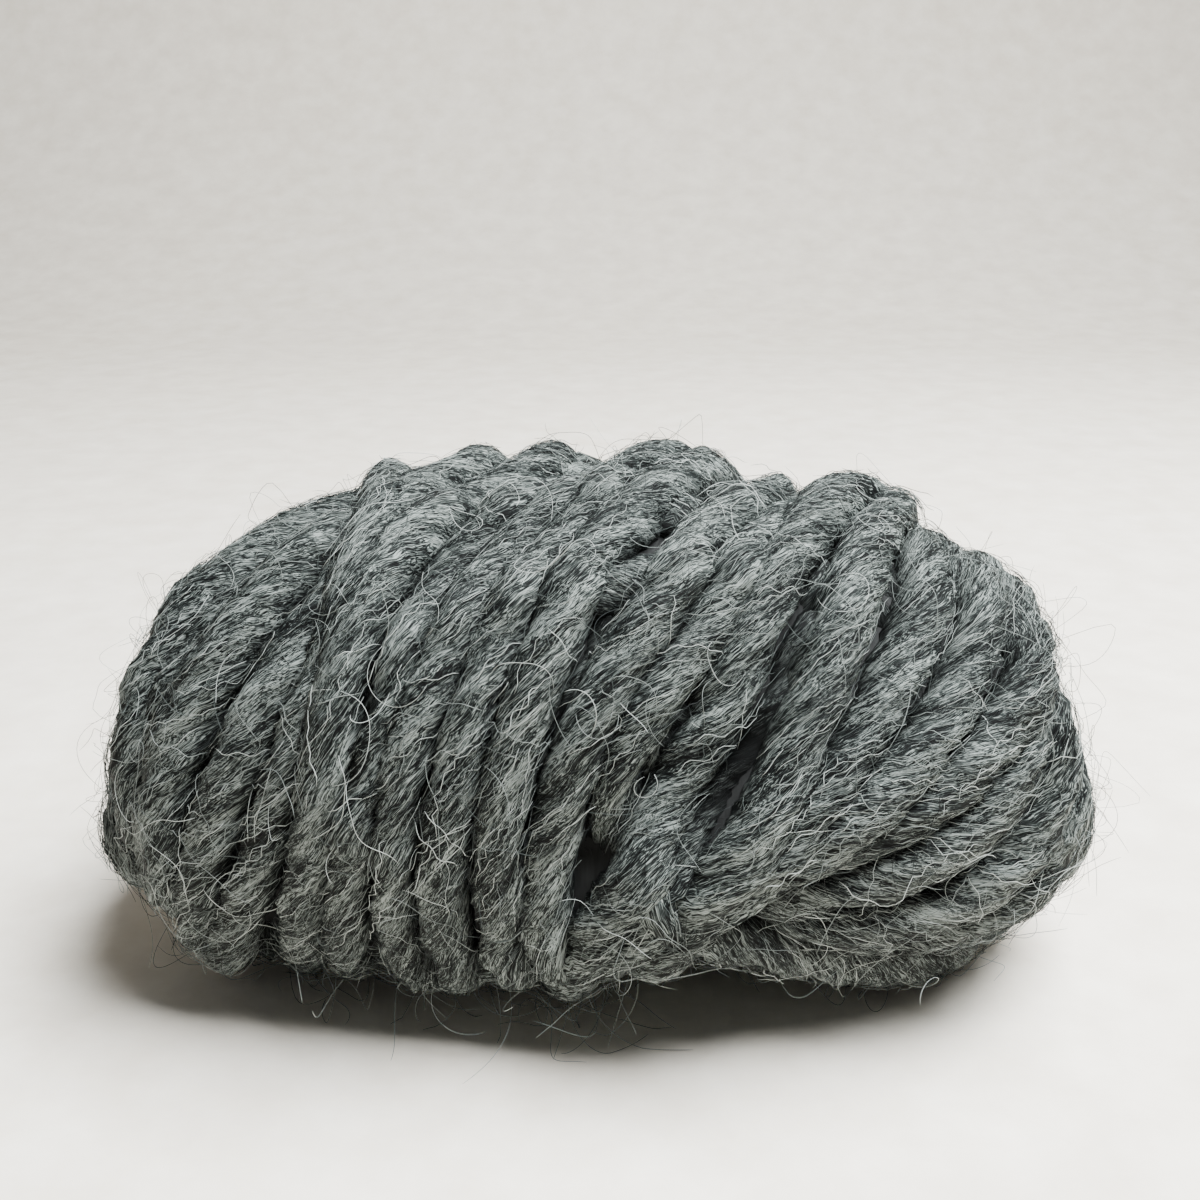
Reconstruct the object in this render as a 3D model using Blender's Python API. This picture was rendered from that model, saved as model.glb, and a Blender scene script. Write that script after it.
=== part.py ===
# A wound ball of bulky single-ply wool roving: one solid of its wound form, with every turn
# that shows raised as a ridge. Metres, +Z up, the long axis along X, and the origin at the
# middle of the flat spot that the ball rests on.
import math

import bmesh
import bpy
import numpy as np

MM = 0.001

# The ball, measured to the backs of its turns, in mm.
HALF_LENGTH = 73.3
HALF_DEPTH = 40.4
HALF_HEIGHT = 39.2
FULLNESS = 2.75          # 2 is an ellipse, more is a squarer outline with blunt ends
END_DROOP = 9.5          # how far the two ends hang below the middle
END_TILT = 1.0           # how much more the right end hangs, and how much less the left
REST_DEPTH = 40.0        # from the middle of the ball down to the surface that it rests on
REST_SOFTNESS = 1.1      # how gently the underside is pressed flat
FLAT_SHAVE = 0.7         # what the flat spot takes off the pressed underside

# The roving, in mm.
ROVING_THICKNESS = 5.2   # from the seat of a turn up to its back
ROVING_SINK = 0.8        # how far a turn beds into what it lies on
WANDER = 0.4             # how far a turn strays from its plane
FOOTPRINT = 0.31         # half of a turn's seat, as a share of its width
HIGHEST_SHARE = 0.35     # how much the highest point under a turn lifts it, the mean the rest
SEAT_LOOSE, SEAT_SNUG = 8.0, 1.5     # steps over which a turn bridges dips, and hugs a crest
SNUG_DEPTH = 0.6         # how far below a snug seat a turn may still span

# The turns, in the order in which they are wound on. Each lies in a plane. Its lean is the
# angle between the plane's normal and the long axis, its swing turns that normal about the
# long axis from the back of the ball (0) over its top (90), and its shift is the plane's
# distance from the middle. Angles in degrees, shift and width in mm.
LENGTHWISE_TURNS = 22    # from end to end, round a dimple at each end
LENGTHWISE_LEAN = 76.0
LENGTHWISE_START = 8.0
LENGTHWISE_SHIFT = 3.0

CROSSWISE_TURNS = 15     # side by side round the middle, leaning the other way
CROSSWISE_LEAN = 27.0
CROSSWISE_SWING = 20.0
CROSSWISE_PITCH = 8.0

COMMON_WIDTH = 9.0

# Filling turns, of which little shows on the front: (lean, swing, width) and their shifts.
LEFT_FILL = (22, 236, 8.6)
LEFT_FILL_SHIFTS = [-58, -50, -42, -34, -26, -18, -10, -2]
MIDDLE_FILL = (33, 205, 8.6)
MIDDLE_FILL_SHIFTS = [3, 10, 17]
RIGHT_FILL = (30, 265, 8.6)
RIGHT_FILL_SHIFTS = [49, 41, 33]

# Outer turns: (lean, swing, shift, width, bend, bend_at). A bend pushes a turn sideways at
# two opposite places, by that many mm, and the other way halfway between them. Its place is
# in degrees round the turn. The first five fan round the right end.
OUTER_TURNS = [
    (81, 164, 31.7, 8.2, 0.6, 75),
    (91, 334, -24.3, 8.2, 1.0, 160),
    (80, 316, -13.0, 8.2, 0.3, 104),
    (68, 291, 3.1, 8.2, 0.2, 89),
    (60, 288, 5.3, 8.2, 0.6, 169),
    (43, 275, 16.0, 8.4, 0.8, 138),
    (35, 245, 18.9, 8.0, 3.9, 164),
    (50, 162, 33.6, 8.2, 3.9, 115),
    (50, 176, -26.0, 8.8, 0.4, 43),
    (50, 187, -19.0, 8.6, 0.1, 174),
    (30, 217, -33.7, 8.6, 0.6, 8),
    (20, 268, -42.2, 7.8, 0.4, 153),
    (27, 240, -28.6, 7.6, 6.0, 47),
    (31, 230, -17.8, 7.4, 6.5, 43),
    (32, 204, -5.8, 7.6, 3.6, 34),
    (26, 209, -3.8, 7.8, 2.1, 35),
    (26, 195, 4.9, 8.0, 0.3, 60),
    (29, 194, 14.8, 8.0, 2.2, 100),
    (33, 221, 29.4, 8.8, 5.0, 148),
    (37, 216, 21.9, 8.8, 5.8, 160),
]

# How far a layer's ridges still stand once the next layer presses on it, in mm.
PRESSED_LENGTHWISE = 2.6
PRESSED_CROSSWISE = 1.8
PRESSED_FILLING = 1.6
RIDGE_HEIGHT = 5.0       # the most that a turn stands above the ball's mean surface
GROOVE_DEPTH = 7.5       # the most that a groove lies below it

# The height map: rows along the side from end to end, columns round the long axis.
MAP_ROWS = 280
MAP_COLUMNS = 384
STEPS_ROUND_TURN = 240
WIDE_BLUR = (13.0, 22.0)     # rows and columns
LAYER_BLUR = (9.0, 16.0)
FUR_BLUR = (0.8, 1.0)        # the roving's fur rounds off the edges of its turns
DIMPLE_RADIUS = 24.0         # round each end, where the blur takes whole rings
DIMPLE_FLOOR = 10.0          # the radius of each dimple's plain floor
DIMPLE_BLUR = (6.0, 1.0)
STEEPEST_SLOPE = 0.2         # where a turn's plane lies nearly along the surface
END_MARGIN = 0.2             # how near to the ends the map reaches, in mm

# The mesh.
RINGS = 190
SEGMENTS = 170
KEPT_SHARE = 0.165           # of the fine mesh's triangles
COLOUR = (0.108, 0.130, 0.120, 1.0)


def sag(x):
    """How far the ball's middle line hangs below its middle point."""
    return END_DROOP * (x / HALF_LENGTH) ** 2 + END_TILT * x / HALF_LENGTH


class BallForm:
    """The ball's smooth form: a point for each place along the side and each angle round."""

    def __init__(self):
        theta = np.linspace(0.0, math.pi, 4001)
        across, along = np.sin(theta), np.cos(theta)
        reach = (np.abs(along) ** FULLNESS + np.abs(across) ** FULLNESS) ** (-1.0 / FULLNESS)
        self.x_of = -HALF_LENGTH * along * reach
        self.girth_of = np.maximum(across * reach, 0.0)
        mean_radius = (HALF_DEPTH + HALF_HEIGHT) / 2
        step = np.hypot(np.diff(self.x_of), mean_radius * np.diff(self.girth_of))
        side = np.concatenate([[0.0], np.cumsum(step)])
        self.side = side - np.interp(0.0, self.x_of, side)

    def point(self, side, angle):
        x = np.interp(side, self.side, self.x_of)
        girth = np.interp(side, self.side, self.girth_of)
        y = -girth * HALF_DEPTH * np.cos(angle)
        z = girth * HALF_HEIGHT * np.sin(angle) - sag(x)
        return np.stack([x, y, z], -1)

    def normal(self, side, angle):
        inside = np.clip(side, self.side[0] + 0.4, self.side[-1] - 0.4)
        along = self.point(inside + 0.3, angle) - self.point(inside - 0.3, angle)
        around = self.point(inside, angle + 0.004) - self.point(inside, angle - 0.004)
        normal = np.cross(along, around)
        return normal / np.linalg.norm(normal, axis=-1, keepdims=True)


def blur_round(values, spread):
    """Gaussian blur of the last axis, which closes on itself."""
    count = values.shape[-1]
    waves = np.arange(count // 2 + 1)
    fade = np.exp(-0.5 * (2 * math.pi * waves * spread / count) ** 2)
    return np.fft.irfft(np.fft.rfft(values) * fade, count)


def blur_map(height, spread):
    """Gaussian blur of a height map: mirrored past the ends, closed round the axis."""
    rows, columns = spread
    mirrored = np.concatenate([height, height[::-1]], 0)
    along = blur_round(mirrored.T, rows).T[: height.shape[0]]
    return blur_round(along, columns)


def plane_normal(lean, swing):
    lean, swing = math.radians(lean), math.radians(swing)
    return np.array([
        math.cos(lean),
        math.sin(lean) * math.cos(swing),
        math.sin(lean) * math.sin(swing),
    ])


class Winding:
    """A height map over the ball's form, onto which turns are laid one after another."""

    def __init__(self, form):
        self.form = form
        first, last = form.side[0] + END_MARGIN, form.side[-1] - END_MARGIN
        self.side = np.linspace(first, last, MAP_ROWS)
        self.angle = np.linspace(-math.pi, math.pi, MAP_COLUMNS, endpoint=False)
        side, angle = np.meshgrid(self.side, self.angle, indexing="ij")
        self.point = form.point(side, angle)
        self.normal = form.normal(side, angle)
        self.height = np.zeros(side.shape)
        self.laid = 0

    def lay(self, lean, swing, shift, width, bend=0.0, bend_at=0.0):
        """Lays one turn: it rests on what is under it, bridges dips and stands up as a ridge."""
        normal = plane_normal(lean, swing)
        slope = np.sqrt(np.maximum(1 - (self.normal @ normal) ** 2, STEEPEST_SLOPE ** 2))
        first = np.cross(normal, [0.0, 0.0, 1.0])
        first /= np.linalg.norm(first)
        second = np.cross(normal, first)
        spoke = self.point - normal * shift
        turn = np.arctan2(spoke @ second, spoke @ first)
        offset = (self.point @ normal - shift) / slope
        offset = offset - WANDER * np.sin(3 * turn + 1.7 * self.laid)
        offset = offset - 0.6 * WANDER * np.sin(7 * turn + 2.9 * self.laid)
        offset = offset - bend * np.cos(2 * (turn - math.radians(bend_at)))

        place = (turn + math.pi) / (2 * math.pi) * STEPS_ROUND_TURN
        step = place.astype(int) % STEPS_ROUND_TURN
        under = np.abs(offset) < FOOTPRINT * width
        count = np.bincount(step[under], minlength=STEPS_ROUND_TURN)
        total = np.bincount(step[under], weights=self.height[under], minlength=STEPS_ROUND_TURN)
        highest = np.full(STEPS_ROUND_TURN, -99.0)
        np.maximum.at(highest, step[under], self.height[under])
        met = count > 0
        seat = (1 - HIGHEST_SHARE) * total / np.maximum(count, 1) + HIGHEST_SHARE * highest
        steps = np.arange(STEPS_ROUND_TURN)
        seat = np.interp(steps, steps[met], seat[met], period=STEPS_ROUND_TURN)
        snug = blur_round(seat, SEAT_SNUG) - SNUG_DEPTH
        seat = np.maximum(blur_round(seat, SEAT_LOOSE), snug)

        before = np.floor(place - 0.5).astype(int)
        share = place - 0.5 - before
        below = seat[before % STEPS_ROUND_TURN] * (1 - share)
        below = below + seat[(before + 1) % STEPS_ROUND_TURN] * share
        half = width / 2
        dome = ROVING_THICKNESS * np.sqrt(np.maximum(1 - (offset / half) ** 2, 0.0))
        ridge = np.where(np.abs(offset) < half, below + dome - ROVING_SINK, self.height)
        self.height = np.maximum(self.height, ridge)
        self.laid += 1

    def press(self, limit):
        """The next layer presses this one: its swells go and its ridges keep up to the limit."""
        swell = blur_map(self.height, LAYER_BLUR)
        self.height = swell - swell.mean() + limit * np.tanh((self.height - swell) / limit)

    def even_out(self):
        """The finished ball is round: only the ridges and grooves are left."""
        swell = blur_map(self.height, WIDE_BLUR)
        ring = np.repeat(self.height.mean(1, keepdims=True), MAP_COLUMNS, 1)
        radius = np.linalg.norm(self.point[:, :, 1:], axis=-1).mean(1)
        near_end = np.clip(1 - (radius / DIMPLE_RADIUS) ** 2, 0, 1)[:, None]
        swell = swell * (1 - near_end) + blur_map(ring, DIMPLE_BLUR) * near_end
        relief = self.height - swell
        ridge = RIDGE_HEIGHT * np.tanh(relief / RIDGE_HEIGHT)
        groove = GROOVE_DEPTH * np.tanh(relief / GROOVE_DEPTH)
        relief = blur_map(np.where(relief > 0, ridge, groove), FUR_BLUR)
        floor = np.clip(1 - (radius / DIMPLE_FLOOR) ** 2, 0, 1)[:, None]
        self.height = relief * (1 - floor) + relief.mean(1, keepdims=True) * floor

    def read(self, side, angle):
        """The height at any place, between the map's own points."""
        row = np.interp(side, self.side, np.arange(MAP_ROWS))
        column = (angle + math.pi) / (2 * math.pi) * MAP_COLUMNS
        row_0 = np.minimum(row.astype(int), MAP_ROWS - 2)
        column_0 = np.floor(column).astype(int)
        up, on = row - row_0, column - column_0
        left, right = column_0 % MAP_COLUMNS, (column_0 + 1) % MAP_COLUMNS
        low = self.height[row_0, left] * (1 - on) + self.height[row_0, right] * on
        high = self.height[row_0 + 1, left] * (1 - on) + self.height[row_0 + 1, right] * on
        return low * (1 - up) + high * up


def wind_ball():
    winding = Winding(BallForm())
    for turn in range(LENGTHWISE_TURNS):
        swing = LENGTHWISE_START + turn * 360.0 / LENGTHWISE_TURNS
        shift = LENGTHWISE_SHIFT if turn % 2 == 0 else -LENGTHWISE_SHIFT
        winding.lay(LENGTHWISE_LEAN, swing, shift, COMMON_WIDTH)
    winding.press(PRESSED_LENGTHWISE)
    for turn in range(CROSSWISE_TURNS):
        shift = (turn - (CROSSWISE_TURNS - 1) / 2) * CROSSWISE_PITCH
        winding.lay(CROSSWISE_LEAN, CROSSWISE_SWING, shift, COMMON_WIDTH)
    winding.press(PRESSED_CROSSWISE)
    for (lean, swing, width), shifts in (
        (LEFT_FILL, LEFT_FILL_SHIFTS),
        (MIDDLE_FILL, MIDDLE_FILL_SHIFTS),
        (RIGHT_FILL, RIGHT_FILL_SHIFTS),
    ):
        for shift in shifts:
            winding.lay(lean, swing, shift, width)
    winding.press(PRESSED_FILLING)
    for turn in OUTER_TURNS:
        winding.lay(*turn)
    winding.even_out()
    return winding


def press_underside(point):
    """The surface that the ball rests on presses its underside flat, softly at the rim."""
    above = (point[:, 2] + REST_DEPTH) / REST_SOFTNESS
    point[:, 2] = REST_SOFTNESS * np.logaddexp(0.0, above)
    return point


def make_ball(collection):
    """A sphere whose poles lie on the long axis, drawn out to the wound form."""
    winding = wind_ball()
    sphere = bmesh.new()
    bmesh.ops.create_uvsphere(sphere, u_segments=SEGMENTS, v_segments=RINGS, radius=1.0)
    direction = np.array([vertex.co for vertex in sphere.verts])
    # The sphere's poles are on Z: its Z becomes the ball's X, and its turn about Z the angle.
    down_the_side = np.arccos(np.clip(-direction[:, 2], -1.0, 1.0)) / math.pi
    first, last = winding.side[0], winding.side[-1]
    side = first + down_the_side * (last - first)
    angle = np.arctan2(direction[:, 1], -direction[:, 0])
    place = winding.form.point(side, angle)
    place = place + winding.form.normal(side, angle) * winding.read(side, angle)[:, None]
    place = press_underside(place)
    middle = (place.min(0) + place.max(0)) / 2
    place = place - [middle[0], middle[1], FLAT_SHAVE]
    for vertex, (x, y, z) in zip(sphere.verts, place * MM):
        vertex.co = (x, y, z)
    bmesh.ops.recalc_face_normals(sphere, faces=sphere.faces)
    bmesh.ops.triangulate(sphere, faces=sphere.faces)
    mesh = bpy.data.meshes.new("yarn_ball")
    sphere.to_mesh(mesh)
    sphere.free()
    ball = bpy.data.objects.new("yarn_ball", mesh)
    collection.objects.link(ball)
    return ball


def make_rest_cutter(collection):
    """A slab under the ball that shaves its flat spot."""
    slab = bmesh.new()
    bmesh.ops.create_cube(slab, size=1.0)
    size = (3 * HALF_LENGTH * MM, 3 * HALF_DEPTH * MM, 20 * MM)
    bmesh.ops.scale(slab, vec=size, verts=slab.verts)
    bmesh.ops.translate(slab, vec=(0.0, 0.0, -size[2] / 2), verts=slab.verts)
    mesh = bpy.data.meshes.new("rest_cutter")
    slab.to_mesh(mesh)
    slab.free()
    cutter = bpy.data.objects.new("rest_cutter", mesh)
    cutter.hide_render = True
    cutter.display_type = "WIRE"
    collection.objects.link(cutter)
    return cutter


def finish_ball(ball, cutter):
    """Fewer triangles, with the ridges kept, and then the flat spot."""
    thin = ball.modifiers.new("fewer triangles", "DECIMATE")
    thin.ratio = KEPT_SHARE
    cut = ball.modifiers.new("flat spot", "BOOLEAN")
    cut.operation = "DIFFERENCE"
    cut.solver = "EXACT"
    cut.object = cutter


def roving_material():
    """Grey heathered wool: matt, a little green, with no shine of its own."""
    material = bpy.data.materials.new("grey wool roving")
    material.use_nodes = True
    surface = material.node_tree.nodes["Principled BSDF"]
    surface.inputs["Base Color"].default_value = COLOUR
    surface.inputs["Roughness"].default_value = 0.9
    surface.inputs["Metallic"].default_value = 0.0
    return material


def new_collection(name):
    collection = bpy.data.collections.new(name)
    bpy.context.scene.collection.children.link(collection)
    return collection


def main():
    for old in list(bpy.data.objects):
        bpy.data.objects.remove(old)
    ball = make_ball(new_collection("yarn ball"))
    cutter = make_rest_cutter(new_collection("cutters"))
    finish_ball(ball, cutter)
    ball.data.shade_smooth()
    ball.data.materials.append(roving_material())


main()
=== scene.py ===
"""A wound ball of bulky grey wool roving.

Every turn that shows is a twisted strand of its own, laid over the ones before it. Over the
strands lie combed surface fibres, and over those a halo of loose, crimped ones.
"""

import math

import bmesh
import bpy
import numpy as np
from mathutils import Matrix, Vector

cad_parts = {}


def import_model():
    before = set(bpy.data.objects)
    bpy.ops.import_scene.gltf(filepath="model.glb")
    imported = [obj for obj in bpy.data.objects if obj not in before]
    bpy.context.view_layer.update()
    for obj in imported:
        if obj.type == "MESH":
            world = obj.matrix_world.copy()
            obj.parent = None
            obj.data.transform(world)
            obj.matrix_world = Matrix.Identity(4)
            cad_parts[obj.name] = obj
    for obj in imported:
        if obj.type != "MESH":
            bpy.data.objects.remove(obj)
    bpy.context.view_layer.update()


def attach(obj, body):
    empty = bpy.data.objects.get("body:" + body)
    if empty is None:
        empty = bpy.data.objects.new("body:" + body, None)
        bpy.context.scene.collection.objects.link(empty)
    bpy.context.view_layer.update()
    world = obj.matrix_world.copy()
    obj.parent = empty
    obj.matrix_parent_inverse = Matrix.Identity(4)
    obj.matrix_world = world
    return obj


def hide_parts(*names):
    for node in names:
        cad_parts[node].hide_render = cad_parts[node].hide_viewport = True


MM = 0.001
TAU = 2 * math.pi

# The ball, in mm and degrees, with the values of the part's source
HALF_LENGTH = 73.3
HALF_DEPTH = 40.4
HALF_HEIGHT = 39.2
FULLNESS = 2.75
END_DROOP = 9.5
END_TILT = 1.0            # how much more the right end hangs, and the left end less
REST_DEPTH = 40.0
REST_SOFTNESS = 1.1
FLAT_SHAVE = 0.7

ROVING_THICKNESS = 5.2
ROVING_SINK = 0.8
WANDER = 0.4
FOOTPRINT = 0.31
HIGHEST_SHARE = 0.35
SEAT_LOOSE, SEAT_SNUG = 8.0, 1.5
SNUG_DEPTH = 0.6

LENGTHWISE_TURNS = 22
LENGTHWISE_LEAN = 76.0
LENGTHWISE_START = 8.0
LENGTHWISE_SHIFT = 3.0
CROSSWISE_TURNS = 15
CROSSWISE_LEAN = 27.0
CROSSWISE_SWING = 20.0
CROSSWISE_PITCH = 8.0
COMMON_WIDTH = 9.0
# (lean, swing, width) of the filling turns, and their shifts
LEFT_FILL = (22, 236, 8.6)
LEFT_FILL_SHIFTS = [-58, -50, -42, -34, -26, -18, -10, -2]
MIDDLE_FILL = (33, 205, 8.6)
MIDDLE_FILL_SHIFTS = [3, 10, 17]
RIGHT_FILL = (30, 265, 8.6)
RIGHT_FILL_SHIFTS = [49, 41, 33]
# (lean, swing, shift, width, bend, bend's place) of each outer turn, in the order of winding
OUTER_TURNS = [
    (81, 164, 31.7, 8.2, 0.6, 75),
    (91, 334, -24.3, 8.2, 1.0, 160),
    (80, 316, -13.0, 8.2, 0.3, 104),
    (68, 291, 3.1, 8.2, 0.2, 89),
    (60, 288, 5.3, 8.2, 0.6, 169),
    (43, 275, 16.0, 8.4, 0.8, 138),
    (35, 245, 18.9, 8.0, 3.9, 164),
    (50, 162, 33.6, 8.2, 3.9, 115),
    (50, 176, -26.0, 8.8, 0.4, 43),
    (50, 187, -19.0, 8.6, 0.1, 174),
    (30, 217, -33.7, 8.6, 0.6, 8),
    (20, 268, -42.2, 7.8, 0.4, 153),
    (27, 240, -28.6, 7.6, 6.0, 47),
    (31, 230, -17.8, 7.4, 6.5, 43),
    (32, 204, -5.8, 7.6, 3.6, 34),
    (26, 209, -3.8, 7.8, 2.1, 35),
    (26, 195, 4.9, 8.0, 0.3, 60),
    (29, 194, 14.8, 8.0, 2.2, 100),
    (33, 221, 29.4, 8.8, 5.0, 148),
    (37, 216, 21.9, 8.8, 5.8, 160),
]
PRESSED_LENGTHWISE = 2.6
PRESSED_CROSSWISE = 1.8
PRESSED_FILLING = 1.6
RIDGE_HEIGHT = 5.0
GROOVE_DEPTH = 7.5
MAP_ROWS = 280
MAP_COLUMNS = 384
STEPS_ROUND_TURN = 240
WIDE_BLUR = (13.0, 22.0)
LAYER_BLUR = (9.0, 16.0)
FUR_BLUR = (0.8, 1.0)
DIMPLE_RADIUS = 24.0
DIMPLE_FLOOR = 10.0
DIMPLE_BLUR = (6.0, 1.0)
STEEPEST_SLOPE = 0.2
END_MARGIN = 0.2

# The strands, in mm
HALF_THICKNESS = 4.2      # a strand is a flattened round: wider than it is thick
TWIST_PITCH = 40.0        # one full twist; lays the fibres about 35 degrees to the strand
SECTION_POINTS = 16
LOBES = 4                 # bundles of fibre that show as bulges along the twist
LOBE_DEPTH = 0.07
SWELL_DEPTH = 0.05        # a strand is a little thicker in some places than in others
SWELL_LENGTH = 9.0
TAPER_LENGTH = 4.0        # a strand that dips out of sight narrows over this length
TAPER_END = 0.35
COVERED_FROM = 0.35       # a strand is pressed where the turns over it are higher by this
COVERED_MOST = 1.6
GIVES_WAY = 1.3           # how far it is pressed in, for each mm that covers it
GROOVE_SHADE_DEPTH = 2.6          # painted shade: this far below the tops of the turns the strand's colour is darkened fully, as if the fuzz let no light back
VEIL_BLUR = (3.0, 4.0)    # a softened copy of the turns' heights, as fuzz would lie over them: painted shade is measured down from it
STEPS_PER_RING = 2
BURIED_BY = 4.0           # a stretch this far below the surface is left out
MARGIN_STEPS = 6
FEWEST_STEPS = 5
STRAND_SPACING = 500.0    # keeps one strand's streaks from running on in the next
CORE_DEPTH = 4.2

# The least heights above the floor, in mm
STRAND_FLOOR = 0.02
CORE_FLOOR = 0.3
FIBRE_FLOOR = 0.12
LOOSE_FLOOR = 0.15

# The fibres, in mm. Real ones are 0.03 to 0.05 mm thick, drawn coarser so that they show.
# length, wave, crimp: how long a fibre is, and how long and high its waves are
# spread: how far it turns from the twist, in radians; astray: the share that turns far more
# lift: how high over the strand it lies at most; tip: how far its tips stand up
# depth: how far below the surface it may lie
# shares: how many are charcoal, slate, mid grey, pale grey and near-white
FIBRE_RADIUS = 0.048
COMBED_PIECES = 3
COMBED = {
    "count": 11400, "points": 6, "length": (4.5, 9.0), "wave": (2.6, 4.6), "crimp": (0.06, 0.26),
    "spread": 0.16, "astray": 0.12, "lift": 0.25, "tip": 0.18, "depth": 0.45,
    "shares": [0.22, 0.22, 0.24, 0.22, 0.10],
}
WAVY = {
    "count": 2400, "points": 13, "length": (7.0, 14.0), "wave": (2.4, 4.4), "crimp": (0.18, 0.50),
    "spread": 0.30, "astray": 0.35, "lift": 0.55, "tip": 0.45, "depth": 0.2,
    "shares": [0.14, 0.16, 0.24, 0.28, 0.18],
}
FAR_ASTRAY = 0.8
ROUND_STRAND = 0.75       # most fibres lie on the side that shows, within this angle
BOW = 0.022
CRIMP_RISE = 0.35         # the crimp also lifts a fibre, by this share of its height
END_CLEARANCE = 2.0
DARK_BELOW = 0.9          # painted shade: fibres this far down in a groove get a darker colour
DARKEST_BELOW = 1.8

HALO_COUNT = 1800
HALO_RADIUS = 0.038
HALO_POINTS = 18
HALO_SHARES = [0.18, 0.16, 0.24, 0.26, 0.16]
HALO_LENGTH = (5.0, 17.0)
HALO_RISE = 1.5           # a curl stands this far off as a rule, and never past the highest
HALO_RISE_LEAST = 0.3
HALO_RISE_MOST = 8.0
HALO_CURL = 0.22
HALO_WAVE = (5.0, 13.0)
HALO_SWING = (0.0, 0.30)
HALO_BLUR = (4.0, 5.0)
LOW_SHARE = 0.34          # more of them grow on the lower half
END_SHARE = 0.20          # and on the two ends
LOOPED_SHARE = 0.5

HANGING_COUNT = 40
HANGING_POINTS = 24
HANGING_LENGTH = (9.0, 21.0)
HANGING_CURL = (0.10, 0.42)
HANGING_DOWN = (0.62, 0.86)
HANGING_DRAW = 0.05       # how strongly their own weight turns them down
HANGING_THICKNESS = 1.15

# Streaks to the metre, along the strand and across it
CRIMP_WAVES = (300.0, 180.0, 180.0)       # the crimp bends the streaks every 3 to 5 mm
FIBRE_STREAKS = (600.0, 7600.0, 7600.0)   # each 1.7 mm long and 0.13 mm wide: a few fibres
LOCK_STREAKS = (190.0, 1500.0, 1500.0)    # each 5 mm long and 0.7 mm wide: a lock of them
PAINTED_SHEEN_STREAKS = (75.0, 330.0, 330.0)       # each 13 mm long and 3 mm wide: paler stretches, painted sheen
SHADE_STREAKS = (1800.0, 260.0, 260.0)    # each 0.6 mm wide and 4 mm long, across the ball
CRIMP_DEPTH = 1.6
FIBRE_RELIEF = 0.35

# The floor and its backdrop, in m
FLOOR_FRONT, FLOOR_BACK = -0.9, 0.55
FLOOR_HALF_WIDTH = 1.6
SWEEP_RADIUS = 0.35
SWEEP_STEPS = 12
BACKDROP_HEIGHT = 1.6

# The camera, in degrees, mm and pixels: the photograph's view
VIEW_ANGLE = 46.0
VIEW_HEIGHT = 24.6        # degrees above the floor, towards the middle of the ball
VIEW_DISTANCE = 223.3
VIEW_BELOW = 112.0        # pixels that the ball's middle lies below the image's
IMAGE_SIZE = 1200.0


def sag(x):
    """How far the ball's middle line hangs below its middle point."""
    return END_DROOP * (x / HALF_LENGTH) ** 2 + END_TILT * x / HALF_LENGTH


class BallForm:
    """The ball's smooth form: a point for each place along the side and each angle round."""

    def __init__(self):
        self.theta = np.linspace(0.0, math.pi, 4001)
        across, along = np.sin(self.theta), np.cos(self.theta)
        reach = (np.abs(along) ** FULLNESS + np.abs(across) ** FULLNESS) ** (-1.0 / FULLNESS)
        self.x_of = -HALF_LENGTH * along * reach
        self.girth_of = np.maximum(across * reach, 0.0)
        mean_radius = (HALF_DEPTH + HALF_HEIGHT) / 2
        step = np.hypot(np.diff(self.x_of), mean_radius * np.diff(self.girth_of))
        side = np.concatenate([[0.0], np.cumsum(step)])
        self.side = side - np.interp(0.0, self.x_of, side)

    def point(self, side, angle):
        x = np.interp(side, self.side, self.x_of)
        girth = np.interp(side, self.side, self.girth_of)
        y = -girth * HALF_DEPTH * np.cos(angle)
        z = girth * HALF_HEIGHT * np.sin(angle) - sag(x)
        return np.stack([x, y, z], -1)

    def normal(self, side, angle):
        inside = np.clip(side, self.side[0] + 0.4, self.side[-1] - 0.4)
        along = self.point(inside + 0.3, angle) - self.point(inside - 0.3, angle)
        around = self.point(inside, angle + 0.004) - self.point(inside, angle - 0.004)
        normal = np.cross(along, around)
        return normal / np.linalg.norm(normal, axis=-1, keepdims=True)

    def place_of(self, point):
        """The place along the side and the angle round of a point on or near the form."""
        x, y, z = point[..., 0], point[..., 1], point[..., 2]
        y = y / HALF_DEPTH
        z = (z + sag(x)) / HALF_HEIGHT
        theta = np.arctan2(np.hypot(y, z), -x / HALF_LENGTH)
        return np.interp(theta, self.theta, self.side), np.arctan2(z, -y)

    def outside(self, point):
        """Above zero for a point outside the form."""
        x, y, z = point[..., 0], point[..., 1], point[..., 2]
        z = z + sag(x)
        girth = np.hypot(y / HALF_DEPTH, z / HALF_HEIGHT)
        return (np.abs(x) / HALF_LENGTH) ** FULLNESS + girth ** FULLNESS - 1.0

    def reach_from(self, start, direction):
        """How far the form's surface lies from an inner point, in each direction."""
        near, far = np.zeros(len(direction)), np.full(len(direction), 160.0)
        for _ in range(40):
            half = (near + far) / 2
            out = self.outside(start + direction * half[:, None]) > 0
            near, far = np.where(out, near, half), np.where(out, half, far)
        return start + direction * near[:, None]


def blur_round(values, spread):
    """Gaussian blur of the last axis, which closes on itself."""
    count = values.shape[-1]
    waves = np.arange(count // 2 + 1)
    fade = np.exp(-0.5 * (TAU * waves * spread / count) ** 2)
    return np.fft.irfft(np.fft.rfft(values) * fade, count)


def blur_map(height, spread):
    """Gaussian blur of a height map: mirrored past the ends, closed round the axis."""
    rows, columns = spread
    mirrored = np.concatenate([height, height[::-1]], 0)
    along = blur_round(mirrored.T, rows).T[: height.shape[0]]
    return blur_round(along, columns)


def unit(vectors):
    """The vectors, each made 1 long."""
    return vectors / np.linalg.norm(vectors, axis=-1, keepdims=True)


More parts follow.
